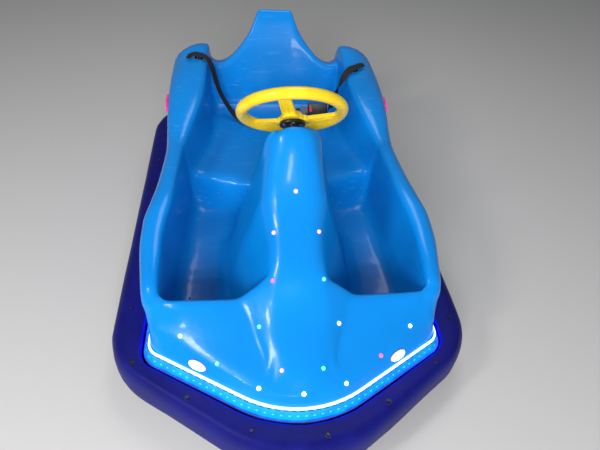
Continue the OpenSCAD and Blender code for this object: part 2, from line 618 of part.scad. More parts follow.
// A wheel's disc with its bore, and a tyre with round shoulders
module hub_disc(r, w, dish_r) {
    difference() {
        across(-w / 2, w / 2, r, 64);
        across(-w, w, axle_r + run, 32);
        for (s = [-1, 1]) translate([s * (w / 2 - 2), 0, 0]) difference() {
            across(-4, 4, dish_r, 64);
            across(-5, 5, dish_r * 0.5, 64);
        }
    }
}
module tyre(r0, r1, w) {
    rotate([0, 90, 0]) rotate_extrude($fn = 96) difference() {
        translate([r0, -w / 2]) square([r1 - r0, w]);
        for (s = [-1, 1]) translate([r1, s * w / 2]) rotate([0, 0, 45])
            square([w * 0.18, w * 0.18], center = true);
    }
}
hub_share = 0.64;
module front_hub() {
    color("silver") translate([0, yd(front_at), front_r]) hub_disc(front_r * hub_share, front_w - 6, front_r * 0.5);
}
module front_tyre() {
    color("black") translate([0, yd(front_at), front_r]) tyre(front_r * hub_share + fit, front_r, front_w);
}

rail_out = rail_x + tube / 2;
module rear_brackets() {
    color("dimgray") for (s = [-1, 1]) translate([s * (rail_out + 4), yd(rear_at), 0]) difference() {
        translate([-4, -35, 52]) cube([8, 70, tube_top - 52]);
        translate([0, 0, rear_r]) across(-9, 9, axle_r + run, 32);
    }
}
module rear_axle(s) {
    h = (rear_w - 8) / 2;
    c = rear_track / 2;
    color("silver") translate([0, yd(rear_at), rear_r]) mirror([s < 0 ? 1 : 0, 0, 0]) {
        across(rail_out + fit, c + h + 12, axle_r, 32);
        across(rail_out + 8 + fit, c - h - fit - 1, axle_r + 6, 32);
        across(c + h + 1, c + h + 7, 14, 6);
    }
}
module rear_axle_left() { rear_axle(1); }
module rear_axle_right() { rear_axle(-1); }
module rear_hub(s) {
    color("gainsboro") translate([s * rear_track / 2, yd(rear_at), rear_r])
        hub_disc(rear_r * hub_share, rear_w - 8, rear_r * 0.5);
}
module rear_hub_left() { rear_hub(1); }
module rear_hub_right() { rear_hub(-1); }
module rear_tyre(s) {
    color("black") translate([s * rear_track / 2, yd(rear_at), rear_r])
        tyre(rear_r * hub_share + fit, rear_r, rear_w);
}
module rear_tyre_left() { rear_tyre(1); }
module rear_tyre_right() { rear_tyre(-1); }

// Batteries and the control box lie on a tray under the seat
tray_d = 845;
tray_l = 310;
battery = [128, 195, 122];
module battery_tray() {
    color("dimgray") translate([-rail_out, yd(tray_d), tube_top]) cube([2 * rail_out, tray_l, 3]);
}
module battery_block(s) {
    color("black") translate([s * (battery[0] / 2 + 8) - battery[0] / 2, yd(tray_d) + 8, tube_top + 3]) {
        cube(battery);
        for (e = [-1, 1]) translate([battery[0] / 2 + e * 40, 24, battery[2]]) cylinder(r = 7, h = 8, $fn = 24);
    }
}
module battery_left() { battery_block(1); }
module battery_right() { battery_block(-1); }
module control_box() {
    color("black") translate([-80, yd(tray_d) + battery[1] + 22, tube_top + 3]) cube([160, 75, 44]);
}

// The accelerator stands at the front of the driver's right footwell
pedal_x = -252 - more_w;
module pedal() {
    color("black") translate([pedal_x - 32, yd(364), floor_z + 2.4]) rotate([3.8, 0, 0]) {
        cube([64, 62, 8]);
        translate([6, 54, 6]) rotate([-30, 0, 0]) translate([0, -58, 0]) cube([52, 62, 7]);
        translate([20, 6, 6]) cube([24, 12, 24]);
    }
}

// Points of the belt's halves: x, d, z of the webbing's middle and its tilt,
// from the shoulder down to the buckle. The right half mirrors x.
BELT_LEFT = [[294, 1172, 456, 11], [284, 1163, 458.5, 11], [270, 1150, 459, 11],
    [254, 1138, 459, 20], [240, 1128, 457, 28], [229, 1119, 451, 28], [221, 1113, 441, 22],
    [212, 1107, 426, 14], [203, 1105, 407, 6], [197, 1112, 380, 2], [194, 1127, 346, 2],
    [195, 1144, 317, 8], [198, 1156, 300, 16], [195, 1163, 292.5, 26], [187.5, 1165, 290, 32]];
BELT_RIGHT = [[293, 1197, 458, 11], [285, 1201, 465, 11], [273, 1204, 470, 11],
    [257, 1204, 469, 9], [241, 1201, 466, 6], [227, 1195, 459, 4], [217, 1189, 441, 2],
    [210, 1183, 417, 0], [203, 1178, 388, 0], [193, 1171, 350, 0], [168, 1160, 306, 0],
    [153, 1150, 286, 0], [139, 1139, 273, 0], [121, 1124, 266.8, 0], [104, 1106, 263.6, 0],
    [76, 1086, 263.6, 0], [40, 1079, 264.4, 0], [0, 1087, 264.6, 0], [-38, 1114, 266, 0],
    [-52, 1135, 269.4, 4], [-63, 1153, 275, 12], [-77, 1163, 282, 24], [-88.5, 1164, 286, 32]];
// The belt keeps to the shoulders where the car is wider
function wider(x) = x + sign(x) * more_w * min(abs(x) / 220, 1);
module webbing(q, s) {
    n = len(q);
    pts = [for (p = q) [s * wider(p[0]), yd(p[1]), p[2]]];
    function ring4(i) =
        let (v = unit(pts[min(i + 1, n - 1)] - pts[max(i - 1, 0)]), t = q[i][3],
             f = unit([s * v[1], -s * v[0], 0]), w = [f[0] * cos(t), f[1] * cos(t), sin(t)] * web_w / 2,
             u = s * unit(cross(v, w)) * web_t / 2, p = pts[i])
        [p + u + w, p + u - w, p - u - w, p - u + w];
    ends = [[3, 2, 1, 0], [4 * n - 4, 4 * n - 3, 4 * n - 2, 4 * n - 1]];
    sides = [for (i = [0:n - 2]) for (k = [0:3]) let (l = (k + 1) % 4)
        [4 * i + k, 4 * i + l, 4 * i + 4 + l, 4 * i + 4 + k]];
    polyhedron([for (i = [0:n - 1]) for (c = ring4(i)) c],
        [for (f = concat(ends, sides)) s > 0 ? [for (k = [len(f) - 1:-1:0]) f[k]] : f]);
}
module belt_left() { color("black") webbing(BELT_LEFT, 1); }
module belt_right() { color("black") webbing(BELT_RIGHT, -1); }
// Steel slides under the webbing on the crown of the shoulders
anchor_at = [38.45, 39.7, 12.75];
module belt_anchor(s) {
    i = s > 0 ? anchor_at[0] : anchor_at[1];
    j = LINES + s * anchor_at[2];
    n = tub_normal(i, j);
    color("silver") translate(on_tub(i, j) + n * 1.5) rotate([0, acos(n[2]), atan2(n[1], n[0])])
        rotate([0, 0, -atan2(n[1], n[0])]) difference() {
            translate([-13, -17, 0]) cube([26, 34, 3]);
            translate([-6, -web_w / 2 - 1, -1]) cube([4, web_w + 2, 5]);
            translate([2, -web_w / 2 - 1, -1]) cube([4, web_w + 2, 5]);
        }
}
module belt_anchor_left() { belt_anchor(1); }
module belt_anchor_right() { belt_anchor(-1); }
// The buckle lies on the seat near its crease
buckle_at = [150, 1166, 278.6];
module at_buckle() {
    translate([wider(buckle_at[0]), yd(buckle_at[1]), buckle_at[2]]) rotate([32, 0, 0]) children();
}
module belt_buckle() {
    color("black") at_buckle() difference() {
        translate([-34, -22, 0]) cube([68, 44, 22]);
        translate([-35, -12, 6]) cube([24, 24, 6]);
        translate([24, -web_w / 2 - 1, 8]) cube([11, web_w + 2, 7]);
    }
}
module belt_tongue() {
    color("silver") at_buckle() difference() {
        union() {
            translate([-48, -9, 7.5]) cube([32, 18, 3]);
            translate([-60, -17, 7.5]) cube([14, 34, 3]);
        }
        translate([-57, -web_w / 2 - 1, 6]) cube([5, web_w + 2, 6]);
    }
}

body_shell();
bumper_ring();
light_strip();
headlamp_left();
headlamp_right();
hood_lights();
side_lamp_left();
side_lamp_right();
hoop();
frame();
front_bridge();
column_flange();
steering_wheel();
wheel_cap();
steering_shaft();
upper_boot();
middle_shaft();
lower_boot();
front_fork();
front_axle();
front_hub();
front_tyre();
rear_brackets();
rear_axle_left();
rear_axle_right();
rear_hub_left();
rear_hub_right();
rear_tyre_left();
rear_tyre_right();
battery_tray();
battery_left();
battery_right();
control_box();
pedal();
belt_anchor_left();
belt_anchor_right();
belt_left();
belt_right();
belt_buckle();
belt_tongue();
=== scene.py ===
import json
import math

import bpy
from mathutils import Matrix, Vector

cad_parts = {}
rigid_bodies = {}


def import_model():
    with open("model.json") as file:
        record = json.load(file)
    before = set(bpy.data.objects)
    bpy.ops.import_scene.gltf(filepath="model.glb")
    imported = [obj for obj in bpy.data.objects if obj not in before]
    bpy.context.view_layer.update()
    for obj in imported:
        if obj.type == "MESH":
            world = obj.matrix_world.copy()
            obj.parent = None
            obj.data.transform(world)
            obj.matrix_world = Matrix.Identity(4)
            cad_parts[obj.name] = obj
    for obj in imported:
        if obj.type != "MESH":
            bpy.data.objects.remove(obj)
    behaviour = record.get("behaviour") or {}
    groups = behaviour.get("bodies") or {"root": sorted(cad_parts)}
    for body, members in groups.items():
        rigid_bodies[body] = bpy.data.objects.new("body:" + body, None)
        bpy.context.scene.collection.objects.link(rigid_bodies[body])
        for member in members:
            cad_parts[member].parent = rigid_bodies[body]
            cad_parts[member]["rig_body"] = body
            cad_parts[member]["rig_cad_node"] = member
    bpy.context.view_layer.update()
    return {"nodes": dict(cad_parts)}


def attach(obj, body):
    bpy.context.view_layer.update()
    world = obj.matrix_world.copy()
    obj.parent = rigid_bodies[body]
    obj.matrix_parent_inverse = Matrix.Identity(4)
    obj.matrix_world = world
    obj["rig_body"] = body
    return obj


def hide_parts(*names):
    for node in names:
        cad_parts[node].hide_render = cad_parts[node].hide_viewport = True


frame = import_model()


# ---- The room: a pale floor, soft lamps overhead and the camera.
# The camera stands ahead of the nose, 1.18 m above the floor, and looks down
# into the tub, a little tilted, as a hand-held one is.
eye = (-0.122, -1.254, 1.180)
yaw, down, roll = math.radians(8.68), math.radians(41.92), math.radians(4.65)
ahead = Vector((math.sin(yaw), math.cos(yaw), 0))
sideways = Vector((math.cos(yaw), -math.sin(yaw), 0))
upright = ahead * math.sin(down) + Vector((0, 0, math.cos(down)))
looks = ahead * math.cos(down) - Vector((0, 0, math.sin(down)))
right = sideways * math.cos(roll) + upright * math.sin(roll)
above = upright * math.cos(roll) - sideways * math.sin(roll)
bpy.ops.object.camera_add(location=eye)
camera = bpy.context.active_object
camera.rotation_euler = Matrix((right, above, -looks)).transposed().to_euler()
camera.data.lens = 30.18
camera.data.sensor_width = 36
bpy.context.scene.camera = camera
bpy.context.scene.view_settings.view_transform = "Standard"

bpy.ops.mesh.primitive_plane_add(size=24)
floor = bpy.context.active_object
floor.name = "floor"
floor_paint = bpy.data.materials.new("floor_paint")
floor_paint.use_nodes = True
floor_shader = floor_paint.node_tree.nodes["Principled BSDF"]
floor_shader.inputs["Base Color"].default_value = (0.62, 0.61, 0.60, 1)
floor_shader.inputs["Roughness"].default_value = 0.62
floor.data.materials.append(floor_paint)

world = bpy.data.worlds.new("soft_room")
bpy.context.scene.world = world
world.use_nodes = True
room_light = world.node_tree.nodes["Background"]
room_light.inputs["Color"].default_value = (0.93, 0.96, 1.0, 1)
room_light.inputs["Strength"].default_value = 0.17


def lamp(name, place, target, size, power, tint):
    """A soft rectangular lamp that faces its target."""
    bpy.ops.object.light_add(type="AREA", location=place)
    light = bpy.context.active_object
    light.name = name
    light.data.shape = "RECTANGLE"
    light.data.size, light.data.size_y = size
    light.data.energy = power
    light.data.color = tint
    light.rotation_euler = (Vector(target) - Vector(place)).to_track_quat("-Z", "Y").to_euler()
    return light


lamp("window", place=(-1.90, -1.49, 2.10), target=(-0.07, -0.67, 0.3), size=(0.30, 0.66),
     power=22, tint=(1.0, 0.98, 0.95))
lamp("skylight", place=(-1.72, -2.02, 1.90), target=(-0.1, -0.62, 0.2), size=(0.18, 0.18),
     power=4, tint=(1.0, 0.98, 0.95))
lamp("doorway", place=(-0.1, -3.3, 1.62), target=(0, -0.1, 0.4), size=(0.3, 0.3),
     power=6, tint=(0.98, 0.98, 1.0))
lamp("ceiling", place=(0.3, 0.8, 3.2), target=(0, 0.1, 0.2), size=(1.2, 1.2),
     power=18, tint=(0.96, 0.98, 1.0))
front_light = lamp("front_light", place=(-0.5, -3.2, 1.75), target=(0, 0, 0.3), size=(2.0, 1.0),
                   power=116, tint=(0.97, 0.98, 1.0))
front_light.visible_glossy = False


# ---- The tub: one rotationally moulded shell of sky-blue polyethylene, with
# a hollow wall, a long hump over the steering and two footwells. It takes
# the driver's weight and is bolted down onto the frame's hoop.
def alone(piece):
    """Leaves only this piece selected, and active."""
    bpy.ops.object.select_all(action="DESELECT")
    piece.select_set(True)
    bpy.context.view_layer.objects.active = piece


def solid_copy(node, name):
    """A CAD node's mesh as a new object, with its doubles merged and its flat faces whole."""
    alone(frame["nodes"][node])
    bpy.ops.object.duplicate()
    piece = bpy.context.active_object
    bpy.ops.object.parent_clear(type="CLEAR_KEEP_TRANSFORM")
    piece.name = piece.data.name = name
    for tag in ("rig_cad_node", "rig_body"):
        del piece[tag]
    piece.data.materials.clear()
    bpy.ops.object.mode_set(mode="EDIT")
    bpy.ops.mesh.select_all(action="SELECT")
    bpy.ops.mesh.remove_doubles(threshold=0.00001)
    bpy.ops.mesh.tris_convert_to_quads(face_threshold=math.radians(50),
                                       shape_threshold=math.radians(70))
    bpy.ops.object.mode_set(mode="OBJECT")
    return piece


def crease_above(piece, height, angle, value):
    """Keeps the edges crisp that lie above a height and are sharper than an angle."""
    alone(piece)
    bpy.context.tool_settings.mesh_select_mode = (False, True, False)
    bpy.ops.object.mode_set(mode="EDIT")
    bpy.ops.mesh.select_all(action="DESELECT")
    bpy.ops.mesh.edges_select_sharp(sharpness=math.radians(angle))
    bpy.ops.object.mode_set(mode="OBJECT")
    for edge in piece.data.edges:
        if min(piece.data.vertices[v].co.z for v in edge.vertices) < height:
            edge.select = False
    bpy.ops.object.mode_set(mode="EDIT")
    bpy.ops.transform.edge_crease(value=value)
    bpy.ops.object.mode_set(mode="OBJECT")


def refine(piece, levels):
    """Subdivides a piece into a smooth skin."""
    alone(piece)
    smooth = piece.modifiers.new("smooth", "SUBSURF")
    smooth.levels = smooth.render_levels = levels
    bpy.ops.object.modifier_apply(modifier="smooth")


def soften(piece, width, segments):
    """Rounds off a piece's edges that turn by more than 30 degrees."""
    alone(piece)
    edge = piece.modifiers.new("edge", "BEVEL")
    edge.width = width
    edge.segments = segments
    edge.limit_method = "ANGLE"
    edge.angle_limit = math.radians(30)
    bpy.ops.object.modifier_apply(modifier="edge")


def finished(piece, body, finish, smooth=None):
    """Applies a piece's place, shades it smooth up to an angle, and gives it finish and body."""
    alone(piece)
    bpy.ops.object.transform_apply(location=True, rotation=True, scale=True)
    if smooth:
        bpy.ops.object.shade_smooth_by_angle(angle=math.radians(smooth))
    if finish:
        piece.data.materials.clear()
        piece.data.materials.append(finish)
    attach(piece, body)


def worked_surface(name, dark, pale, patch, rough, grain, depth, metal=0.0, coat=0.0,
                   coat_rough=0.1):
    """Blotches between two colours, roughness that follows them, and fine pits in the skin."""
    surface = bpy.data.materials.new(name)
    surface.use_nodes = True
    tree = surface.node_tree
    shader = tree.nodes["Principled BSDF"]
    place = tree.nodes.new("ShaderNodeTexCoord")
    blotch = tree.nodes.new("ShaderNodeTexNoise")
    blotch.inputs["Scale"].default_value = patch
    blotch.inputs["Detail"].default_value = 5
    tint = tree.nodes.new("ShaderNodeValToRGB")
    low_stop, high_stop = tint.color_ramp.elements
    low_stop.position, high_stop.position = 0.3, 0.7
    low_stop.color, high_stop.color = (*dark, 1), (*pale, 1)
    wear = tree.nodes.new("ShaderNodeMapRange")
    wear.inputs["To Min"].default_value, wear.inputs["To Max"].default_value = rough
    pits = tree.nodes.new("ShaderNodeTexNoise")
    pits.inputs["Scale"].default_value = grain
    pits.inputs["Detail"].default_value = 4
    skin = tree.nodes.new("ShaderNodeBump")
    skin.inputs["Strength"].default_value = 0.6
    skin.inputs["Distance"].default_value = depth
    tree.links.new(place.outputs["Object"], blotch.inputs["Vector"])
    tree.links.new(place.outputs["Object"], pits.inputs["Vector"])
    tree.links.new(blotch.outputs["Fac"], tint.inputs["Fac"])
    tree.links.new(tint.outputs["Color"], shader.inputs["Base Color"])
    tree.links.new(blotch.outputs["Fac"], wear.inputs["Value"])
    tree.links.new(wear.outputs["Result"], shader.inputs["Roughness"])
    tree.links.new(pits.outputs["Fac"], skin.inputs["Height"])
    tree.links.new(skin.outputs["Normal"], shader.inputs["Normal"])
    shader.inputs["Metallic"].default_value = metal
    shader.inputs["Coat Weight"].default_value = coat
    shader.inputs["Coat Roughness"].default_value = coat_rough
    return surface


def ramp(tree, source, span, ends):
    """A value that runs between two ends as its source crosses a span."""
    node = tree.nodes.new("ShaderNodeMapRange")
    node.interpolation_type = "SMOOTHSTEP"
    node.inputs["From Min"].default_value, node.inputs["From Max"].default_value = span
    node.inputs["To Min"].default_value, node.inputs["To Max"].default_value = ends
    tree.links.new(source, node.inputs["Value"])
    return node.outputs["Result"]


def sum_up(tree, how, first, second=None):
    """One or two values put through a sum."""
    node = tree.nodes.new("ShaderNodeMath")
    node.operation = how
    tree.links.new(first, node.inputs[0])
    if second:
        tree.links.new(second, node.inputs[1])
    return node.outputs["Value"]


tub_blue = worked_surface("tub_blue", dark=(0.002, 0.215, 0.66), pale=(0.003, 0.245, 0.73),
                          patch=6, rough=(0.20, 0.30), grain=70, depth=0.0006, coat=0.2,
                          coat_rough=0.06)
tub_tree = tub_blue.node_tree
tub_shader = tub_tree.nodes["Principled BSDF"]
tub_shader.inputs["Specular IOR Level"].default_value = 0.24
on_tub = tub_tree.nodes["Texture Coordinate"].outputs["Object"]

# Painted shade: the colour is duller and darker low down inside the footwells, though not on the
# hood or on the outer walls.
spot = tub_tree.nodes.new("ShaderNodeSeparateXYZ")
tub_tree.links.new(on_tub, spot.inputs["Vector"])
low_down = ramp(tub_tree, spot.outputs["Z"], span=(0.10, 0.34), ends=(0.72, 1.0))
off_centre = sum_up(tub_tree, "ABSOLUTE", spot.outputs["X"])
outside = ramp(tub_tree, off_centre, span=(0.31, 0.345), ends=(0.0, 1.0))
on_hood = ramp(tub_tree, spot.outputs["Y"], span=(-0.50, -0.47), ends=(1.0, 0.0))
unshaded_share = sum_up(tub_tree, "MAXIMUM", low_down, sum_up(tub_tree, "MAXIMUM", outside, on_hood))
# The tub's colour, scaled down there by that share as painted shade.
painted_shade = tub_tree.nodes.new("ShaderNodeVectorMath")
painted_shade.operation = "SCALE"
tub_tree.links.new(tub_tree.nodes["Color Ramp"].outputs["Color"], painted_shade.inputs[0])
tub_tree.links.new(unshaded_share, painted_shade.inputs["Scale"])

# Fine pale scratches run down it here and there, where people climb in.
stretch = tub_tree.nodes.new("ShaderNodeMapping")
stretch.inputs["Rotation"].default_value = (0.5, 0.4, 1.2)
stretch.inputs["Scale"].default_value = (11, 150, 150)
scratch = tub_tree.nodes.new("ShaderNodeTexNoise")
scratch.inputs["Scale"].default_value = 1.0
scratch.inputs["Detail"].default_value = 2
tub_tree.links.new(on_tub, stretch.inputs["Vector"])
tub_tree.links.new(stretch.outputs["Vector"], scratch.inputs["Vector"])
lines = ramp(tub_tree, scratch.outputs["Fac"], span=(0.62, 0.74), ends=(0.0, 0.28))
climbed = ramp(tub_tree, spot.outputs["Y"], span=(-0.40, 0.10), ends=(0.0, 1.0))
paler = tub_tree.nodes.new("ShaderNodeMix")
paler.data_type = "RGBA"
tub_tree.links.new(sum_up(tub_tree, "MULTIPLY", lines, climbed), paler.inputs["Factor"])
tub_tree.links.new(painted_shade.outputs["Vector"], paler.inputs["A"])
paler.inputs["B"].default_value = (0.12, 0.42, 0.80, 1)
tub_tree.links.new(paler.outputs["Result"], tub_shader.inputs["Base Color"])

# The mould is rounded off where the rim runs into the two front corners.
tub = solid_copy("body_shell", "tub")
bpy.context.tool_settings.mesh_select_mode = (True, False, False)
bpy.ops.object.mode_set(mode="EDIT")
bpy.ops.mesh.select_all(action="DESELECT")
bpy.ops.object.mode_set(mode="OBJECT")
front_corner, corner_reach = Vector((0.338, -0.525, 0.195)), 0.062
for v in tub.data.vertices:
    mirrored = Vector((abs(v.co.x), v.co.y, v.co.z))
    v.select = (mirrored - front_corner).length < corner_reach
bpy.ops.object.mode_set(mode="EDIT")
bpy.ops.mesh.vertices_smooth(factor=0.5, repeat=7)
bpy.ops.object.mode_set(mode="OBJECT")
crease_above(tub, height=0.30, angle=50, value=0.5)
refine(tub, 1)
finished(tub, "car", tub_blue, smooth=50)
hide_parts("body_shell")


# ---- The bumper ring: a thick black rubber moulding all round the car. It
# is soft, a little uneven, and bolted down along its inner edge.
# Its colour is deep navy blue, not black: painted glow from the light strip on the black rubber.
ring_rubber = worked_surface("ring_rubber", dark=(0.004, 0.005, 0.110), pale=(0.007, 0.008, 0.165),
                             patch=14, rough=(0.42, 0.58), grain=160, depth=0.0008)
ring_rubber.node_tree.nodes["Principled BSDF"].inputs["Specular IOR Level"].default_value = 0.2
ring = solid_copy("bumper_ring", "ring")
refine(ring, 2)
uneven = bpy.data.textures.new("uneven", "CLOUDS")
uneven.noise_scale = 0.09
waves = ring.modifiers.new("waves", "DISPLACE")
waves.texture = uneven
waves.strength = 0.004
waves.mid_level = 1.0
bpy.ops.object.modifier_apply(modifier="waves")
bpy.ops.object.shade_smooth()
finished(ring, "car", ring_rubber)
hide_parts("bumper_ring")


def round_the_car(node, heights, inner, pitch, start=0.0):
    """Evenly spaced places on a node's inner or outer loop of points between two heights."""
    low, high = heights
    loop = [v.co.copy() for v in frame["nodes"][node].data.vertices if low < v.co.z < high]
    loop.sort(key=lambda p: math.atan2(p.y, p.x))
    rays = {}
    for p in loop:
        rays.setdefault(round(math.atan2(p.y, p.x), 3), []).append(p)
    line = [sorted(r, key=lambda p: p.xy.length)[0 if inner else -1] for r in rays.values()]
    keep = [line[0]]
    for p in line[1:]:
        if (p - keep[-1]).length > 0.004:
            keep.append(p)
    line = keep + [keep[0]]
    reach = sum((b - a).length for a, b in zip(line, line[1:]))
    count = round(reach / pitch)
    places, walked, nth = [], 0.0, 0
    for a, b in zip(line, line[1:]):
        step = (b - a).length
        while nth < count and (nth + start) * reach / count <= walked + step:
            t = ((nth + start) * reach / count - walked) / step
            places.append((a.lerp(b, t), math.atan2(b.y - a.y, b.x - a.x)))
            nth += 1
        walked += step
    return places


def joined(parts, name):
    """Parts made one piece, in the first part's own place."""
    alone(parts[0])
    for part in parts:
        part.select_set(True)
    bpy.ops.object.join()
    piece = bpy.context.active_object
    piece.name = piece.data.name = name
    return piece


def set_out(model, places, name):
    """One piece made of the model and its copies, with one of them at each place."""
    alone(model)
    row = [model]
    for _ in places[1:]:
        bpy.ops.object.duplicate()
        row.append(bpy.context.active_object)
    for each, place in zip(row, places):
        each.matrix_world = place
        each.select_set(True)
    bpy.ops.object.transform_apply(location=True, rotation=True, scale=True)
    return joined(row, name)


def bolt(across):
    """A hexagon head at the origin, over a washer that is sunk into what it holds."""
    washer_drop = across * 0.22 + 0.0005
    bpy.ops.mesh.primitive_cylinder_add(vertices=20, radius=across * 0.8, depth=0.002,
                                        location=(0, 0, -washer_drop))
    washer = bpy.context.active_object
    bpy.ops.mesh.primitive_cylinder_add(vertices=6, radius=across / 2, depth=across * 0.45)
    head = bpy.context.active_object
    soften(head, across * 0.06, 2)
    return joined([head, washer], "bolt")


# Small zinc-plated bolts with washers hold the ring down.
ring_lip, ring_bolt_pitch = (0.1457, 0.1463), 0.165
bolt_zinc = worked_surface("bolt_zinc", dark=(0.035, 0.035, 0.08), pale=(0.09, 0.09, 0.16),
                           patch=60, rough=(0.30, 0.50), grain=300, depth=0.0003, metal=0.9)
into_rubber = Vector((0, 0, -0.0012))
bolt_places = [Matrix.Translation(at + into_rubber) for at, _ in
               round_the_car("bumper_ring", ring_lip, True, ring_bolt_pitch, start=0.5)]
ring_bolts = set_out(bolt(across=0.009), bolt_places, "ring_bolts")
finished(ring_bolts, "car", bolt_zinc)


# ---- The light strip: a milky flexible lamp let into the ledge over the
# ring. Its foot glows deep blue, and a bright cord runs along its top edge.
def glowing(name, colour, power, rim=None, patch=40):
    """A lit plastic that is cloudy between its colour and a rim colour."""
    glow = bpy.data.materials.new(name)
    glow.use_nodes = True
    tree = glow.node_tree
    shader = tree.nodes["Principled BSDF"]
    place = tree.nodes.new("ShaderNodeTexCoord")
    cloud = tree.nodes.new("ShaderNodeTexNoise")
    cloud.inputs["Scale"].default_value = patch
    tint = tree.nodes.new("ShaderNodeValToRGB")
    low_stop, high_stop = tint.color_ramp.elements
    low_stop.position, high_stop.position = 0.35, 0.65
    low_stop.color = (*(rim or [c * 0.8 for c in colour]), 1)
    high_stop.color = (*colour, 1)
    tree.links.new(place.outputs["Object"], cloud.inputs["Vector"])
    tree.links.new(cloud.outputs["Fac"], tint.inputs["Fac"])
    tree.links.new(tint.outputs["Color"], shader.inputs["Base Color"])
    tree.links.new(tint.outputs["Color"], shader.inputs["Emission Color"])
    shader.inputs["Emission Strength"].default_value = power
    shader.inputs["Roughness"].default_value = 0.25
    return glow


strip_milky = glowing("strip_milky", (0.006, 0.32, 0.78), 0.34, rim=(0.004, 0.24, 0.74), patch=30)
strip_deep = glowing("strip_deep", (0.0, 0.010, 1.0), 36.0, rim=(0.0, 0.004, 0.9), patch=30)
strip_white = glowing("strip_white", (0.12, 0.20, 1.0), 12.0, rim=(0.10, 0.16, 1.0), patch=60)
deep_top, cord_foot, hair = 0.1425, 0.1656, 0.0001
strip = solid_copy("light_strip", "strip")
bpy.ops.object.mode_set(mode="EDIT")
for height in (deep_top, cord_foot):
    bpy.ops.mesh.select_all(action="SELECT")
    bpy.ops.mesh.bisect(plane_co=(0, 0, height), plane_no=(0, 0, 1))
bpy.ops.object.mode_set(mode="OBJECT")
for finish in (strip_milky, strip_deep, strip_white):
    strip.data.materials.append(finish)
for face in strip.data.polygons:
    if face.center.z > cord_foot + hair:
        face.material_index = 2
    elif face.center.z < deep_top - hair:
        face.material_index = 1
    else:
        face.material_index = 0
finished(strip, "car", None, smooth=30)
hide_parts("light_strip")

strip_ridge, strip_pitch, strip_lean = (0.1680, 0.1686), 0.0177, math.radians(-22)


def along_strip(start, out, drop):
    """Places at the strip's pitch, out from its ridge and down its leaning face."""
    places = []
    for at, turn in round_the_car("light_strip", strip_ridge, False, strip_pitch, start):
        outward = Vector((math.sin(turn), -math.cos(turn), 0))
        places.append(Matrix.Translation(at + outward * out + Vector((0, 0, -drop)))
                      @ Matrix.Rotation(turn, 4, "Z") @ Matrix.Rotation(strip_lean, 4, "X"))
    return places


# Its solder marks show as a row of short dark dashes under the bright cord.
dash_black = worked_surface("dash_black", dark=(0.010, 0.014, 0.022), pale=(0.020, 0.026, 0.036),
                            patch=90, rough=(0.4, 0.5), grain=300, depth=0.0002)
bpy.ops.mesh.primitive_cube_add(size=1)
dash = bpy.context.active_object
dash.scale = (0.0105, 0.0012, 0.0024)
bpy.ops.object.transform_apply(location=True, rotation=True, scale=True)
dashes = set_out(dash, along_strip(start=0.0, out=0.0017, drop=0.0040), "strip_dashes")
finished(dashes, "car", dash_black)

# Its diodes show through the milky face as a row of small brighter dots.
diode_pale = glowing("diode_pale", (0.05, 0.50, 0.95), 0.75, rim=(0.04, 0.42, 0.90), patch=60)
bpy.ops.mesh.primitive_uv_sphere_add(segments=10, ring_count=6, radius=1)
diode = bpy.context.active_object
diode.scale = (0.0034, 0.0006, 0.0024)
bpy.ops.object.transform_apply(location=True, rotation=True, scale=True)
bpy.ops.object.shade_smooth()
diodes = set_out(diode, along_strip(start=0.5, out=0.0070, drop=0.0170), "strip_diodes")
finished(diodes, "car", diode_pale)


# ---- Headlamps: two oval clear lenses on the fascia under the hood's edge,
# lit white by diodes behind them, each in a thin bright frame.
head_white = glowing("head_white", (1.0, 0.93, 1.0), 3.2, rim=(1.0, 0.80, 0.98), patch=90)
head_pink = glowing("head_pink", (0.92, 0.50, 1.0), 1.0, rim=(0.80, 0.40, 0.95), patch=90)
lamp_frame = worked_surface("lamp_frame", dark=(0.30, 0.34, 0.60), pale=(0.42, 0.46, 0.72),
                            patch=80, rough=(0.12, 0.22), grain=300, depth=0.0001, metal=0.8)
frame_proud, edge_proud = 0.0022, 0.0048
for side in ("left", "right"):
    lens = solid_copy("headlamp_" + side, "headlamp_lens_" + side)
    for finish in (head_white, head_pink, lamp_frame):
        lens.data.materials.append(finish)
    back = max(lens.data.polygons, key=lambda face: face.area)
    foot, out = back.center.copy(), -back.normal
    for face in lens.data.polygons:
        height = (face.center - foot).dot(out)
        face.material_index = 2 if height < frame_proud else 1 if height < edge_proud else 0
    finished(lens, "car", None, smooth=40)
    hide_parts("headlamp_" + side)


# ---- Side lamps: long oval lenses of pink acrylic, low on the outside of
# the shoulders, with rounded edges. They glow faintly and are pressed on.
lens_pink = glowing("lens_pink", (0.80, 0.05, 0.30), 0.4, rim=(0.62, 0.03, 0.22), patch=50)
for side in ("left", "right"):
    lens = solid_copy("side_lamp_" + side, "side_lens_" + side)
    soften(lens, 0.0035, 3)
    finished(lens, "car", lens_pink, smooth=40)
    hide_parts("side_lamp_" + side)


# ---- The small hood lights: domed diodes pushed through holes in the shell,
# white, icy blue, pink and magenta, in rows that run across the hood.
stud_glow = {
    "white": glowing("stud_white", (0.90, 0.98, 1.0), 2.6),
    "cyan": glowing("stud_cyan", (0.14, 0.85, 1.0), 1.3),
    "pink": glowing("stud_pink", (1.0, 0.42, 0.74), 1.2),
    "magenta": glowing("stud_magenta", (1.0, 0.10, 0.52), 1.6),
}
# A row's middle, its reach along and to either side, and its tones left and right.
stud_rows = (
    (-0.657, 0.014, 0.070, "pink", "cyan"),
    (-0.625, 0.016, 0.230, "cyan", "magenta"),
    (-0.559, 0.020, 0.130, "cyan", "white"),
    (-0.499, 0.020, 0.455, "magenta", "cyan"),
    (0.0, 0.425, 0.455, "pink", "pink"),
)


def middle(piece):
    return sum((v.co for v in piece.data.vertices), Vector()) / len(piece.data.vertices)


def tone_of(place):
    """The tone of the row that a light stands in; outside the rows they are white."""
    for row, along, reach, left_tone, right_tone in stud_rows:
        if abs(place.y - row) < along and abs(place.x) < reach:
            return left_tone if place.x < 0 else right_tone
    return "white"


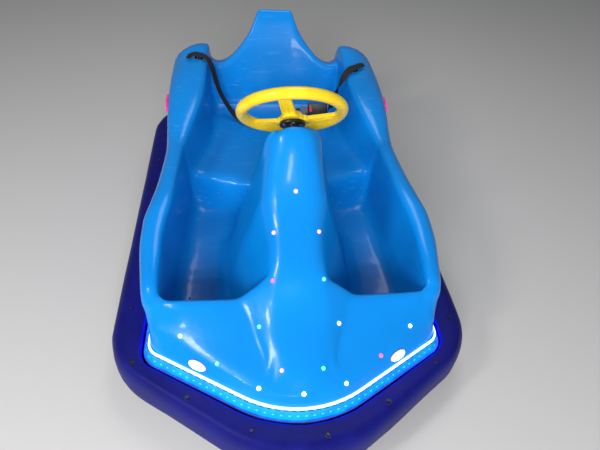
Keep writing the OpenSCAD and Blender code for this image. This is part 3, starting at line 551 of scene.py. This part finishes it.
studs = solid_copy("hood_lights", "stud")
bpy.ops.mesh.separate(type="LOOSE")
tones = {}
for stud in sorted(bpy.context.selected_objects, key=lambda stud: middle(stud).y):
    tones.setdefault(tone_of(middle(stud)), []).append(stud)
for number, (tone, group) in enumerate(tones.items()):
    piece = joined(group, "hood_lights_" + tone)
    soften(piece, 0.0012, 3)
    finished(piece, "car", stud_glow[tone], smooth=50)
    if number == 0:
        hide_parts("hood_lights")


# ---- The steering wheel: one yellow nylon moulding with a thick rim, three
# spokes with raised edges and a round hub, pushed onto the shaft.
wheel_yellow = worked_surface("wheel_yellow", dark=(0.90, 0.60, 0.012), pale=(0.96, 0.70, 0.022),
                              patch=25, rough=(0.22, 0.32), grain=240, depth=0.0004, coat=0.25)
wheel_middle, column_slope, wheel_turn = (0, -0.183, 0.574), math.radians(49), math.radians(-15.5)
on_column = Matrix.Translation(wheel_middle) @ Matrix.Rotation(-column_slope, 4, "X")


def turned(name, radius, depth, place, edge, segments=3, sides=64):
    """A round upright piece with its edges rounded off."""
    bpy.ops.mesh.primitive_cylinder_add(vertices=sides, radius=radius, depth=depth, location=place)
    piece = bpy.context.active_object
    piece.name = piece.data.name = name
    soften(piece, edge, segments)
    return piece


bpy.ops.mesh.primitive_torus_add(major_radius=0.121, minor_radius=0.014, major_segments=96,
                                 minor_segments=24)
rim = bpy.context.active_object
# A spoke is a thin web, two raised edges and a rib between them. It rises to
# the rim, narrows on its way out, and starts from a round root at the hub.
spoke_start, spoke_middle, spoke_length = 0.018, 0.066, 0.096
spoke_drop, spoke_rise, spoke_taper = -0.009, 0.22, 3.0
bars = []
for across, width, thick in ((0, 0.027, 0.004), (-0.0125, 0.005, 0.010), (0, 0.0045, 0.009),
                             (0.0125, 0.005, 0.010)):
    bpy.ops.mesh.primitive_cube_add(size=1, location=(spoke_middle, across, spoke_drop))
    bar = bpy.context.active_object
    bar.scale = (spoke_length, width, thick)
    bpy.ops.object.transform_apply(location=True, rotation=True, scale=True)
    soften(bar, 0.0014, 3)
    for v in bar.data.vertices:
        v.co.z += (v.co.x - spoke_middle) * spoke_rise
        v.co.y *= 1.18 - (v.co.x - spoke_start) * spoke_taper
    bars.append(bar)
root = turned("root", 0.021, 0.014, (0.022, 0, -0.018), 0.0025, sides=48)
thirds = [Matrix.Rotation(math.radians(turn), 4, "Z") for turn in (-90, 30, 150)]
spokes = set_out(joined([*bars, root], "spoke"), thirds, "spokes")
hub = turned("hub", 0.030, 0.016, (0, 0, -0.018), 0.003)
wheel = joined([rim, spokes, hub], "wheel")
wheel.matrix_world = on_column @ Matrix.Rotation(wheel_turn, 4, "Z")
finished(wheel, "steering", wheel_yellow, smooth=40)
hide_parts("steering_wheel")


def pick_faces(piece, wanted):
    """Opens a piece for editing with only the wanted faces selected."""
    alone(piece)
    bpy.context.tool_settings.mesh_select_mode = (False, False, True)
    bpy.ops.object.mode_set(mode="EDIT")
    bpy.ops.mesh.select_all(action="DESELECT")
    bpy.ops.object.mode_set(mode="OBJECT")
    for face in piece.data.polygons:
        face.select = wanted(face)
    bpy.ops.object.mode_set(mode="EDIT")


# Its cap snaps over the nut, and has a shallow groove round its top.
bpy.ops.mesh.primitive_cylinder_add(vertices=64, radius=0.024, depth=0.006,
                                    location=(0, 0, -0.0067))
cap = bpy.context.active_object
cap.name = cap.data.name = "cap"
pick_faces(cap, lambda face: face.normal.z > 0.9)
bpy.ops.mesh.inset(thickness=0.004, depth=0)
bpy.ops.mesh.inset(thickness=0.002, depth=-0.001)
bpy.ops.object.mode_set(mode="OBJECT")
soften(cap, 0.0012, 3)
cap.matrix_world = on_column @ cap.matrix_world
finished(cap, "steering", wheel_yellow, smooth=40)
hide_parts("wheel_cap")


# ---- The column's flange: a black steel plate on the hump's end, with a
# short neck round the shaft, held by four plated bolts.
black_steel = worked_surface("black_steel", dark=(0.010, 0.010, 0.011), pale=(0.022, 0.022, 0.024),
                             patch=40, rough=(0.26, 0.42), grain=220, depth=0.0003)
bright_steel = worked_surface("bright_steel", dark=(0.52, 0.53, 0.55), pale=(0.66, 0.67, 0.69),
                              patch=50, rough=(0.16, 0.30), grain=260, depth=0.0002, metal=1.0)
flange_foot, plate_thick = -0.0549, 0.006
plate = turned("plate", 0.032, plate_thick, (0, 0, flange_foot + 0.003), 0.0012, segments=2)
neck = turned("neck", 0.015, 0.0085, (0, 0, flange_foot + 0.0098), 0.0015, segments=2, sides=48)
flange = joined([plate, neck], "flange")
flange.matrix_world = on_column @ flange.matrix_world
finished(flange, "car", black_steel, smooth=40)
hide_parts("column_flange")


def bolt_circle(count, radius, height, start):
    """Places evenly spaced on a circle round the column's line."""
    return [Matrix.Rotation(start + math.tau * nth / count, 4, "Z") @ Vector((radius, 0, height))
            for nth in range(count)]


flange_places = [Matrix.Translation(at) for at in
                 bolt_circle(4, 0.0235, flange_foot + plate_thick, math.radians(45))]
flange_bolts = set_out(bolt(across=0.008), flange_places, "flange_bolts")
flange_bolts.matrix_world = on_column
finished(flange_bolts, "car", bright_steel)


# ---- The shaft: a bright steel bar from the wheel's hub down into the hump.
# Under the hub it carries a black disc that five bright bolts go into from
# below.
disc = turned("wheel_disc", 0.031, 0.008, (0, 0, -0.030), 0.001, segments=2)
disc.matrix_world = on_column @ disc.matrix_world
finished(disc, "steering", black_steel, smooth=40)
upside_down = Matrix.Rotation(math.pi, 4, "X")
disc_places = [Matrix.Translation(at) @ upside_down for at in
               bolt_circle(5, 0.021, -0.0338, wheel_turn)]
wheel_bolts = set_out(bolt(across=0.0105), disc_places, "wheel_bolts")
wheel_bolts.matrix_world = on_column
finished(wheel_bolts, "steering", bright_steel)
shaft = turned("shaft", 0.009, 0.1365, (0, 0, -0.0782), 0.0008, segments=2, sides=48)
shaft.matrix_world = on_column @ shaft.matrix_world
finished(shaft, "steering", bright_steel, smooth=40)
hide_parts("steering_shaft")


# ---- Shafts, fork and axles: plain turned and welded steel under the hump,
# joined by rubber boots, and kept as they come from the solid model.
def refinish(names, finish):
    """Gives CAD nodes that stay as they are a better material."""
    for name in names:
        node = frame["nodes"][name]
        node.data.materials.clear()
        node.data.materials.append(finish)


refinish(("middle_shaft", "front_axle", "rear_axle_left", "rear_axle_right", "front_fork"),
         bright_steel)
boot_rubber = worked_surface("boot_rubber", dark=(0.014, 0.014, 0.015), pale=(0.026, 0.026, 0.028),
                             patch=60, rough=(0.5, 0.65), grain=200, depth=0.0006)
refinish(("upper_boot", "lower_boot"), boot_rubber)


# ---- Frame, bridge, hoop, brackets and tray: welded square tube and flat
# bar, painted dark grey.
frame_grey = worked_surface("frame_grey", dark=(0.045, 0.047, 0.050), pale=(0.070, 0.073, 0.078),
                            patch=22, rough=(0.38, 0.55), grain=120, depth=0.0006)
refinish(("frame", "front_bridge", "hoop", "rear_brackets", "battery_tray"), frame_grey)


# ---- Wheels: grey cast discs with solid black rubber tyres pressed onto
# them. The front one is driven and steered, the rear two run free.
tyre_rubber = worked_surface("tyre_rubber", dark=(0.016, 0.016, 0.016), pale=(0.034, 0.033, 0.032),
                             patch=30, rough=(0.62, 0.8), grain=140, depth=0.0012)
hub_grey = worked_surface("hub_grey", dark=(0.32, 0.33, 0.34), pale=(0.44, 0.45, 0.46),
                          patch=40, rough=(0.35, 0.5), grain=180, depth=0.0004, metal=0.3)
refinish(("front_tyre", "rear_tyre_left", "rear_tyre_right"), tyre_rubber)
refinish(("front_hub", "rear_hub_left", "rear_hub_right"), hub_grey)


# ---- Batteries and the control box: black moulded polypropylene cases that
# stand on the tray under the seat.
case_black = worked_surface("case_black", dark=(0.014, 0.014, 0.015), pale=(0.024, 0.024, 0.026),
                            patch=30, rough=(0.35, 0.5), grain=400, depth=0.0003)
refinish(("battery_left", "battery_right", "control_box"), case_black)


# ---- The accelerator: a black ribbed plate on a small stand, at the front
# of the driver's right footwell, with a thin bright post beside it.
pedal_black = worked_surface("pedal_black", dark=(0.012, 0.012, 0.013), pale=(0.028, 0.028, 0.030),
                             patch=50, rough=(0.40, 0.6), grain=260, depth=0.0005)
refinish(("pedal",), pedal_black)
post = turned("pedal_post", 0.002, 0.046, (-0.262, -0.4035, 0.145), 0.0006, segments=2, sides=20)
finished(post, "car", bright_steel)


# ---- The lap belt: black polyester webbing from each shoulder, a plated
# slide on either side, and a push-button buckle lying on the seat. One bolt
# holds each end of the webbing down.
belt_black = worked_surface("belt_black", dark=(0.008, 0.008, 0.009), pale=(0.018, 0.018, 0.020),
                            patch=200, rough=(0.6, 0.75), grain=900, depth=0.0008)
for side in ("left", "right"):
    strap = solid_copy("belt_" + side, "strap_" + side)
    refine(strap, 2)
    finished(strap, "car", belt_black, smooth=50)
    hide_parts("belt_" + side)
tongue_steel = worked_surface("tongue_steel", dark=(0.10, 0.10, 0.11), pale=(0.17, 0.17, 0.18),
                              patch=60, rough=(0.35, 0.5), grain=260, depth=0.0002, metal=0.8)
refinish(("belt_anchor_left", "belt_anchor_right"), bright_steel)
refinish(("belt_tongue",), tongue_steel)
anchor_lean = math.radians(11)
belt_ends = [Matrix.Translation((0.2900, 0.3435, 0.4584)) @ Matrix.Rotation(anchor_lean, 4, "Y"),
             Matrix.Translation((-0.2895, 0.3735, 0.4632)) @ Matrix.Rotation(-anchor_lean, 4, "Y")]
belt_bolts = set_out(bolt(across=0.012), belt_ends, "belt_bolts")
finished(belt_bolts, "car", black_steel)
buckle_black = worked_surface("buckle_black", dark=(0.010, 0.010, 0.011),
                              pale=(0.020, 0.020, 0.022), patch=60, rough=(0.30, 0.42), grain=300,
                              depth=0.0002)
buckle = solid_copy("belt_buckle", "buckle")
soften(buckle, 0.0025, 3)
finished(buckle, "car", buckle_black, smooth=40)
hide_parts("belt_buckle")

# Its red button is let into the end that the tongue goes into.
button_red = worked_surface("button_red", dark=(0.55, 0.012, 0.020), pale=(0.66, 0.020, 0.030),
                            patch=60, rough=(0.28, 0.38), grain=300, depth=0.0002)
buckle_middle, buckle_slope = (0.150, 0.341, 0.2786), math.radians(32)
button_place = (-0.0265, 0, 0.0222)
bpy.ops.mesh.primitive_cube_add(size=1)
button = bpy.context.active_object
button.name = button.data.name = "buckle_button"
button.scale = (0.010, 0.026, 0.0050)
bpy.ops.object.transform_apply(location=True, rotation=True, scale=True)
soften(button, 0.0010, 2)
button.matrix_world = (Matrix.Translation(buckle_middle) @ Matrix.Rotation(buckle_slope, 4, "X")
                       @ Matrix.Translation(button_place))
finished(button, "car", button_red)
